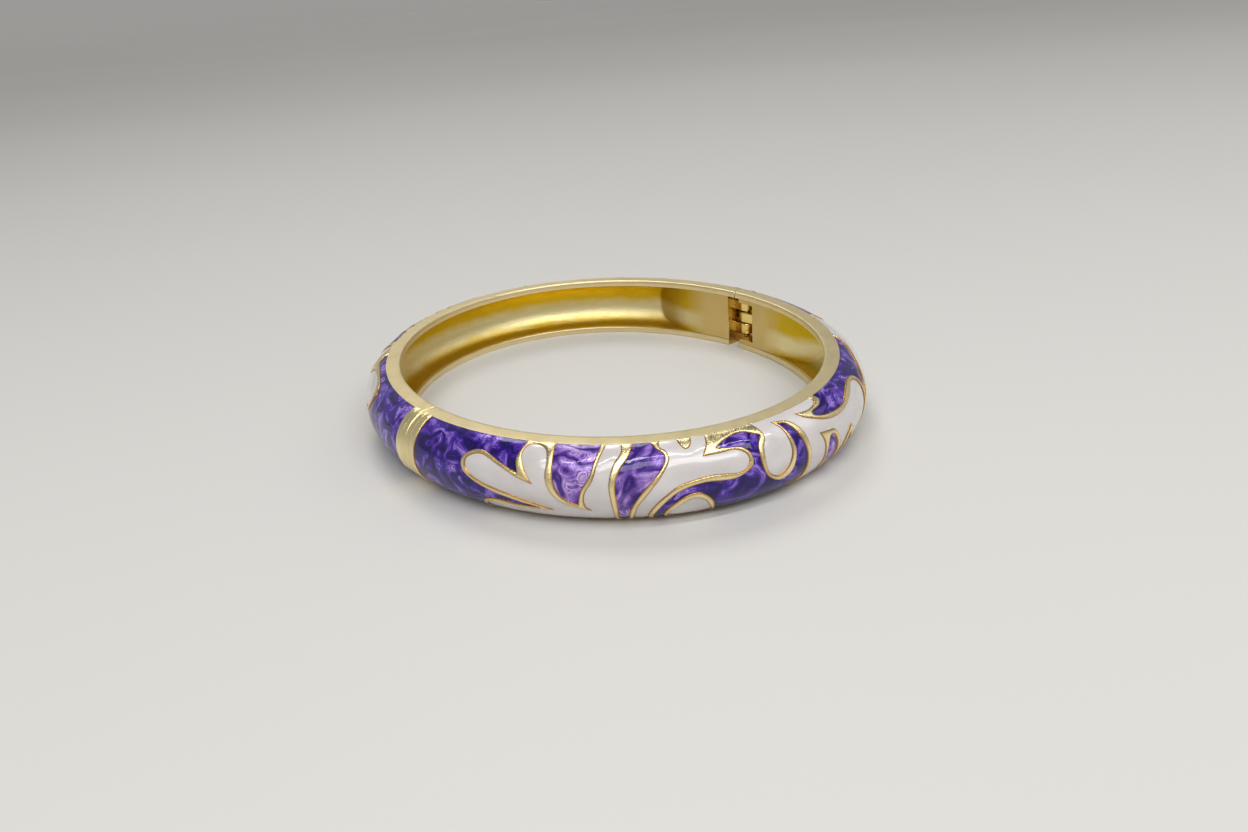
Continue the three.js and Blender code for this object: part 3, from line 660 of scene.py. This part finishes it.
def free_points(loops, sign, s_ends):
    """Points for the gold away from the outlines: beside the lines, in a grid, at the ends."""
    rings = [np.vstack([grown(loop, by) for loop in loops]) for by in LINE_RINGS + (CELL_RING,)]
    gs, gt = np.meshgrid(np.arange(min(s_ends), max(s_ends), GRID_S),
                         np.arange(-EDGE, EDGE, GRID_T), indexing="ij")
    gs = gs + 0.22 * (np.arange(gs.shape[1]) % 2)[None, :]
    grid = np.stack([gs.ravel(), gt.ravel()], 1)
    from_end = np.minimum(np.abs(grid[:, 0]), HALF - np.abs(grid[:, 0]))
    grid = grid[from_end > 1.3]
    offsets = [SEAM + c for c in END_STEPS + (END_ROUND, 0.45)]
    offsets += [GROOVE_AT + GROOVE_W * c for c in (-1, -0.6, -0.25, 0, 0.25, 0.6, 1)]
    offsets += [HALF - c for c in offsets]
    cs, ct = np.meshgrid(sign * np.array(offsets), ACROSS_END)
    columns = np.stack([cs.ravel(), ct.ravel()], 1)

    gap = cell_distance(np.vstack(rings + [grid, columns]), loops)
    gaps = np.split(gap, np.cumsum([len(r) for r in rings] + [len(grid)]))
    kept = [ring[d > by - 0.012] for ring, d, by in zip(rings, gaps, LINE_RINGS)]
    kept.append(rings[-1][gaps[-3] < CELL_RING * 0.75])
    kept.append(grid[(gaps[-2] > 0.4) | (gaps[-2] < -0.35)])
    kept.append(columns[gaps[-1] > 0.05])
    kept = np.vstack(kept)
    inside = ((kept[:, 0] > min(s_ends) + 0.02) & (kept[:, 0] < max(s_ends) - 0.02)
              & (np.abs(kept[:, 1]) < EDGE - 0.05))
    return kept[inside]


def dome_patch(stations, sign, cells):
    """Triangles of the gold outside of a half in (s, t), fitted to the cells' outlines."""
    s0, s1 = stations[0], stations[-1]
    points = [np.stack([stations, np.full(len(stations), -EDGE)], 1),
              np.stack([np.full(len(ACROSS_END), s1), ACROSS_END], 1),
              np.stack([stations[::-1], np.full(len(stations), EDGE)], 1),
              np.stack([np.full(len(ACROSS_END), s0), ACROSS_END[::-1]], 1)]
    n = sum(len(p) for p in points)
    edges = [(q, (q + 1) % n) for q in range(n)]
    loops = [smooth_loop(outline, OUTLINE_STEP) for _, _, outline in cells]
    for loop in loops:
        edges += [(n + q, n + (q + 1) % len(loop)) for q in range(len(loop))]
        points.append(loop)
        n += len(loop)
    points = np.vstack(points + [free_points(loops, sign, (s0, s1))])
    out, _, tris, _, _, _ = delaunay_2d_cdt([Vector(p) for p in points], edges, [], 1, 1e-4)
    flat = np.array([[v.x, v.y] for v in out])
    return flat, [tuple(f) for f in tris], cell_distance(flat, loops)


def inside_rows(distance, section, rims_end):
    """(offset, z) of the section at every station, with the blocks and the rounded ends."""
    rounding = end_round(distance)[:, None]
    face = np.minimum(block_face(distance, CLASP_BLOCK, CLASP_RAMP),
                      block_face(HALF - distance, HINGE_BLOCK, HINGE_RAMP))[:, None]
    channel = np.zeros(len(section), bool)
    channel[rims_end - 2:len(section) - rims_end + 2] = True
    offset = np.where(channel, np.minimum(section[None, :, 0], face), section[None, :, 0])
    z = MID + (section[None, :, 1] - MID) * (1 - rounding / MID)
    foot, foot_z = across(EDGE, -rounding)
    foot_z = np.minimum(foot_z, HEIGHT - rounding)
    return np.hstack([foot, offset, foot]), np.hstack([foot_z, z, HEIGHT - foot_z])


def strip_faces(stations, path, first):
    """Quads between neighbouring stations and their chart places; first is vertex 0's index."""
    width = len(path)
    i = np.arange(len(stations) - 1)[:, None]
    j = np.arange(width - 1)[None, :]
    quads = first + np.stack(np.broadcast_arrays(
        i * width + j, i * width + j + 1, (i + 1) * width + j + 1, (i + 1) * width + j), -1)
    uv = np.stack([np.stack(np.broadcast_arrays(*pair), -1) for pair in (
        (stations[i], path[j]), (stations[i], path[j + 1]),
        (stations[i + 1], path[j + 1]), (stations[i + 1], path[j]))], 2)
    return quads.reshape(-1, 4).tolist(), list(uv.reshape(-1, 2))


def finish_half(obj, distance, flat, tris, gap, width, rims_end):
    """Gives each face its gold, and each point its mark.

    The mark is the distance from the enamel on the dome, which places the lines' painted shade, and
    the share of block inside, which places the blocks' painted reflection.
    """
    for mat in GOLDS:
        obj.data.materials.append(mat)
    centre, up = np.abs(flat[np.array(tris)].mean(1)).T
    in_band = (centre < BAND_END) | (centre > END + 0.1)
    dome_kind = np.where(in_band, BANDS, np.where(up > T, RIMS, LINES))
    kind = np.full((len(distance) - 1, width - 1), RIMS)
    kind[:, rims_end + 1:width - rims_end - 2] = INSIDE
    index = np.concatenate([dome_kind, kind.ravel(), [BLOCKS, BLOCKS]])
    obj.data.polygons.foreach_set("material_index", index.astype(np.int32))
    past_block = np.minimum(distance - CLASP_BLOCK, HALF - distance - HINGE_BLOCK)
    # share of the blocks' tan painted reflection, fading out past each block
    block_reflection = np.repeat(np.clip((BLOCK_MIX - past_block) / BLOCK_MIX, 0, 1), width)
    mark = np.concatenate([np.clip(gap / LINE_R, 0, 1), block_reflection])
    layer = obj.data.attributes.new("mark", "FLOAT", "POINT")
    layer.data.foreach_set("value", mark.astype(np.float32))


def cast_half(name, sign, cells):
    """One half: the dome's patch, the swept inside and two end faces, as one closed mesh."""
    distance = np.linspace(SEAM, HALF - SEAM, int((HALF - 2 * SEAM) / S_STEP))
    ends = np.array(END_STEPS)
    distance = np.sort(np.concatenate([distance, SEAM + ends, HALF - SEAM - ends]))
    stations = sign * distance
    flat, tris, gap = dome_patch(stations, sign, cells)
    gap = np.where(np.abs(gap) < 2e-3, 0, gap)
    offset, z = across(flat[:, 1], gold_height(flat, gap))
    low = end_round(np.abs(flat[:, 0]))
    patch = along(flat[:, 0], offset, np.clip(z, low, HEIGHT - low))

    section, rims_end = inner_section()
    offset, z = inside_rows(distance, section, rims_end)
    swept = along(stations[:, None], offset, z).reshape(-1, 3)
    path = np.vstack([[RIM, HEIGHT], section, [RIM, 0]])
    path = EDGE + np.concatenate([[0], np.cumsum(np.hypot(*np.diff(path, axis=0).T))])
    width = len(path)
    quads, quad_uvs = strip_faces(stations, path, len(patch))
    faces = tris + quads
    uvs = [flat[q] for f in tris for q in f] + quad_uvs
    for row, s in ((0, stations[0]), (len(stations) - 1, stations[-1])):
        side = np.nonzero(np.abs(flat[:, 0] - s) < 1e-4)[0]
        side = side[np.argsort(flat[side, 1])][1:-1]
        cap = [len(patch) + row * width + q for q in range(width)] + side.tolist()
        faces.append(cap)
        uvs += [(c * 0.1, s) for c in range(len(cap))]
    obj = new_object(name, np.vstack([patch, swept]), faces, uvs)
    finish_half(obj, distance, flat, tris, gap, width, rims_end)

    bm = bmesh.new()
    bm.from_mesh(obj.data)
    bmesh.ops.remove_doubles(bm, verts=bm.verts, dist=0.002 * MM)
    bmesh.ops.recalc_face_normals(bm, faces=bm.faces)
    bm.to_mesh(obj.data)
    bm.free()
    return obj


# ---------------------------------------------------------------- hinge and clasp
def cut_hinge_end(obj):
    """Cuts the knuckles' pocket, its openings to the inside and the V notch outside."""
    air = KNUCKLE_R + POCKET_AIR
    z0, z1 = PIN_Z0 - POCKET_AIR, PIN_Z1 + POCKET_AIR
    spread = 4 * math.tan(math.radians(OPENING / 2 + 3))

    def pocket(bm):
        add_box(bm, SEMI_X - 1, PIN_X, -WINDOW, air, z0, z1)

    def round_pocket(bm):
        add_rod(bm, PIN_X, 0, air, z0, z1)

    def notch(bm):
        add_box(bm, SEMI_X - 1, SEMI_X + 2, -0.7, air, -1, z0 + 0.2)

    def upper_notch(bm):
        add_box(bm, SEMI_X - 1, SEMI_X + 1.6, -0.7, air, z1 - 0.2, HEIGHT - LIP)

    def wedge(bm):
        corners = [(PIN_X, 0), (PIN_X + 4, -spread), (PIN_X + 4, spread)]
        low = [bm.verts.new((x, y, -1)) for x, y in corners]
        high = [bm.verts.new((x, y, HEIGHT + 1)) for x, y in corners]
        bm.faces.new(low[::-1])
        bm.faces.new(high)
        for q in range(3):
            bm.faces.new([low[q], low[(q + 1) % 3], high[(q + 1) % 3], high[q]])

    for build in (pocket, round_pocket, notch, upper_notch, wedge):
        cutter = solid_of("cut", build)
        cutter.data.materials.append(BLOCK_GOLD)
        boolean(obj, cutter, "DIFFERENCE")


def cut_clasp_slot(obj):
    """Cuts the slot that takes the tongue."""
    cutter = solid_of("cut", lambda bm: add_box(
        bm, TONGUE_X - TONGUE_T / 2 - SLOT_AIR, TONGUE_X + TONGUE_T / 2 + SLOT_AIR, -1,
        TONGUE_LEN + SLOT_AIR, TONGUE_Z - SLOT_AIR, TONGUE_Z + TONGUE_H + SLOT_AIR))
    cutter.data.materials.append(BLOCK_GOLD)
    boolean(obj, cutter, "DIFFERENCE")


def bevelled(name, build, offset, material):
    """A solid with its hard edges rounded."""
    def rounded(bm):
        build(bm)
        bmesh.ops.recalc_face_normals(bm, faces=bm.faces)
        hard = [e for e in bm.edges if e.calc_face_angle(0) > math.radians(40)]
        bmesh.ops.bevel(bm, geom=hard, offset=offset, segments=3, profile=0.5, affect="EDGES")
    obj = solid_of(name, rounded)
    obj.data.materials.append(material)
    return obj


def knuckle(level, side):
    """One knuckle of the hinge with its leaf."""
    z0 = PIN_Z0 + level * (KNUCKLE_H + KNUCKLE_GAP)
    z1 = z0 + KNUCKLE_H
    reach = (KNUCKLE_R + POCKET_AIR if side > 0 else WINDOW) + 0.4
    barrel = bevelled("barrel", lambda bm: add_rod(bm, PIN_X, 0, KNUCKLE_R, z0, z1, 56),
                      0.16, PIN_GOLD)
    leaf = bevelled("leaf", lambda bm: add_box(
        bm, PIN_X - KNUCKLE_R + 0.12, PIN_X + 0.2, min(0, side * reach), max(0, side * reach),
        z0 + 0.04, z1 - 0.04), 0.12, PIN_GOLD)
    boolean(barrel, leaf, "UNION")
    return barrel


def tongue(bm):
    """The spring tongue: a strip folded back on itself."""
    half, tip = TONGUE_T / 2, TONGUE_LEN - TONGUE_T / 2
    turn = np.radians(np.linspace(180, 0, 17))
    outer = [(half * math.cos(a), tip + half * math.sin(a)) for a in turn]
    inner = [((half - LEAF) * math.cos(a), tip + (half - LEAF) * math.sin(a)) for a in turn]
    outline = [(-half, -TONGUE_ROOT), *outer, (half, 0.6), (half - LEAF, 0.6), *inner[::-1],
               (-half + LEAF, -TONGUE_ROOT)]
    low = [bm.verts.new((TONGUE_X + x, y, TONGUE_Z)) for x, y in outline]
    high = [bm.verts.new((TONGUE_X + x, y, TONGUE_Z + TONGUE_H)) for x, y in outline]
    bm.faces.new(low)
    bm.faces.new(high)
    for q in range(len(outline)):
        w = (q + 1) % len(outline)
        bm.faces.new([low[q], low[w], high[w], high[q]])


def join(main, others):
    """Makes the others part of the main object."""
    bpy.ops.object.select_all(action="DESELECT")
    for o in others:
        o.data.uv_layers.new(name="chart")
        o.select_set(True)
    main.select_set(True)
    bpy.context.view_layer.objects.active = main
    bpy.ops.object.join()


# ---------------------------------------------------------------- enamel
FIELD_EDGE = 0.16           # spacing of points on the outline and inside it
FIELD_GRID = 0.42
SWELL_OVER = 0.55           # the surface rises to its full swell over about this length


def enamel_field(name, outline):
    """The closed solid of enamel that fills one cell, gently domed over its edge."""
    true_loop = smooth_loop(outline, FIELD_EDGE)
    loop = grown(true_loop, ENAMEL_OVER)
    low, high = loop.min(0), loop.max(0)
    gs, gt = np.meshgrid(np.arange(low[0], high[0], FIELD_GRID),
                         np.arange(low[1], high[1], FIELD_GRID), indexing="ij")
    gs = gs + FIELD_GRID / 2 * (np.arange(gs.shape[1]) % 2)[None, :]
    inner = np.stack([gs.ravel(), gt.ravel()], 1)
    inner = inner[signed_distance(inner, loop) < -0.14]
    ring = grown(true_loop, -0.08)
    ring = ring[::2][signed_distance(ring[::2], loop) < -0.12]
    points = np.vstack([loop, ring, inner])
    n = len(loop)
    edges = [(q, (q + 1) % n) for q in range(n)]
    out, _, tris, _, _, _ = delaunay_2d_cdt(
        [Vector(p) for p in points], edges, [], 1, 1e-5)
    flat = np.array([[v.x, v.y] for v in out])
    tris = [tuple(f) for f in tris]
    from_edge = np.clip(-signed_distance(flat, true_loop), 0, None)
    swell = ENAMEL_SWELL * (1 - np.exp(-from_edge / SWELL_OVER))
    top = along(flat[:, 0], *across(flat[:, 1], swell))
    bottom = along(flat[:, 0], *across(flat[:, 1], -ENAMEL_DEPTH))
    m = len(flat)
    sides = {(a, b): True for f in tris for a, b in zip(f, f[1:] + f[:1])}
    faces = tris + [tuple(q + m for q in f[::-1]) for f in tris]
    faces += [(b, a, a + m, b + m) for a, b in sides if (b, a) not in sides]
    both = np.vstack([flat, flat])
    uvs = [both[q] for f in faces for q in f]
    return new_object(name, np.vstack([top, bottom]), faces, uvs)


# ---------------------------------------------------------------- assembly
bodies = {"front": ("front_half", 1, FRONT_CELLS), "back": ("back_half", -1, BACK_CELLS)}
for half, (body, sign, cells) in bodies.items():
    casting = cast_half(f"{half}_casting", sign, cells)
    cut_hinge_end(casting)
    if half == "back":
        cut_clasp_slot(casting)
        join(casting, [knuckle(0, 1), knuckle(2, 1)])
    else:
        join(casting, [knuckle(1, -1)])
    shade(casting)
    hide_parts(f"{half}_half_casting")
    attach(casting, body)
    for cell, colour, outline in cells:
        field = enamel_field(f"{half}_{cell}_enamel", outline)
        if colour == "white":
            field.data.materials.append(WHITE)
        else:
            field.data.materials.append(VIOLET_PALE if cell in PALE_CELLS else VIOLET_DEEP)
        shade(field, 50)
        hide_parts(f"{half}_{cell}")
        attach(field, body)

pin = bevelled("pin", lambda bm: add_rod(bm, PIN_X, 0, PIN_R, PIN_Z0, PIN_Z1, 40), 0.12,
               PIN_GOLD)
clip = bevelled("tongue", tongue, 0.08, PIN_GOLD)
for piece, node, body in ((pin, "hinge_pin", "back_half"), (clip, "clasp_tongue", "front_half")):
    shade(piece)
    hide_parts(node)
    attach(piece, body)

# ---------------------------------------------------------------- floor, lights, camera
FLOOR_R = 20000
floor = solid_of("floor", lambda bm: bmesh.ops.create_circle(
    bm, cap_ends=True, segments=64, radius=FLOOR_R))
floor_look = Nodes("floor_paper")
floor_cloud = floor_look.noise(floor_look.add("ShaderNodeTexCoord").outputs["Object"], 3.0, 4)
floor.data.materials.append(floor_look.put(
    Base_Color=floor_look.ramp(floor_cloud.outputs["Fac"], [
        (0.3, (0.62, 0.61, 0.59)), (0.7, (0.65, 0.64, 0.62))]),
    Roughness=0.6, Specular_IOR_Level=0.2))

VIEW_TURN = math.radians(-39.232)   # the camera looks along this turn of +Y


def turned(x, y, z):
    """A place given with the camera looking along +Y, in the row frame."""
    return Matrix.Rotation(VIEW_TURN, 3, "Z") @ Vector((x, y, z))


def light(name, kind, place, power, colour, **props):
    """A lamp at a place seen from the camera's side, aimed at the object."""
    data = bpy.data.lights.new(name, kind)
    data.energy = power
    data.color = colour
    for key, value in props.items():
        setattr(data, key, value)
    lamp = bpy.data.objects.new(name, data)
    bpy.context.scene.collection.objects.link(lamp)
    lamp.location = turned(*place)
    lamp.rotation_euler = (-turned(*place)).to_track_quat("-Z", "Y").to_euler()
    lamp.visible_camera = False


light("sun_back", "SUN", (-0.10, 0.42, 0.60), 0.80, (1, 0.98, 0.95), angle=math.radians(24))
light("sun_right", "SUN", (0.60, 0.05, 0.50), 0.22, (1, 0.99, 0.98), angle=math.radians(30))
light("window", "AREA", (0.05, -0.41, 0.50), 2.4, (1, 0.99, 0.97), shape="RECTANGLE",
      size=0.85, size_y=0.18)
light("window_strip", "AREA", (0.05, -0.22, 0.61), 1.6, (1, 0.99, 0.97), shape="RECTANGLE",
      size=0.85, size_y=0.03)

world = bpy.data.worlds.new("studio")
bpy.context.scene.world = world
world.use_nodes = True
tree = world.node_tree
sky = tree.nodes["Background"]
coord = tree.nodes.new("ShaderNodeTexCoord")
split = tree.nodes.new("ShaderNodeSeparateXYZ")
by_height = tree.nodes.new("ShaderNodeValToRGB")
tree.links.new(coord.outputs["Generated"], split.inputs[0])
tree.links.new(split.outputs["Z"], by_height.inputs["Fac"])
tree.links.new(by_height.outputs["Color"], sky.inputs["Color"])
stops = by_height.color_ramp.elements
stops[0].position, stops[0].color = 0.0, (0.58, 0.57, 0.55, 1)
stops[1].position, stops[1].color = 0.80, (0.14, 0.15, 0.17, 1)
middle = stops.new(0.48)
middle.color = (0.72, 0.71, 0.69, 1)
sky.inputs["Strength"].default_value = 0.56
bpy.context.scene.view_settings.view_transform = "Standard"

# place, tilt and lens came from a fit of the rims' perspective
CAMERA_AT = Vector((1.778, -111.945, 50.348)) * MM
PITCH = math.radians(25.187)
ROLL = math.radians(5.12)
FOCAL_PX = 900.0
IMAGE_W = 1248.0
SENSOR_W = 36.0
spin = Matrix.Rotation(VIEW_TURN, 3, "Z")
forward = spin @ Vector((0, math.cos(PITCH), -math.sin(PITCH)))
upward = spin @ Vector((0, math.sin(PITCH), math.cos(PITCH)))
rightward = spin @ Vector((1, 0, 0))
cam_x = math.cos(ROLL) * rightward - math.sin(ROLL) * upward
cam_y = math.sin(ROLL) * rightward + math.cos(ROLL) * upward
lens = bpy.data.cameras.new("camera")
lens.sensor_width = SENSOR_W
lens.lens = FOCAL_PX * SENSOR_W / IMAGE_W
lens.clip_start = 0.005
camera = bpy.data.objects.new("camera", lens)
bpy.context.scene.collection.objects.link(camera)
basis = Matrix((cam_x, cam_y, -forward)).transposed().to_4x4()
camera.matrix_world = Matrix.Translation(spin @ CAMERA_AT) @ basis
bpy.context.scene.camera = camera

bpy.context.view_layer.update()
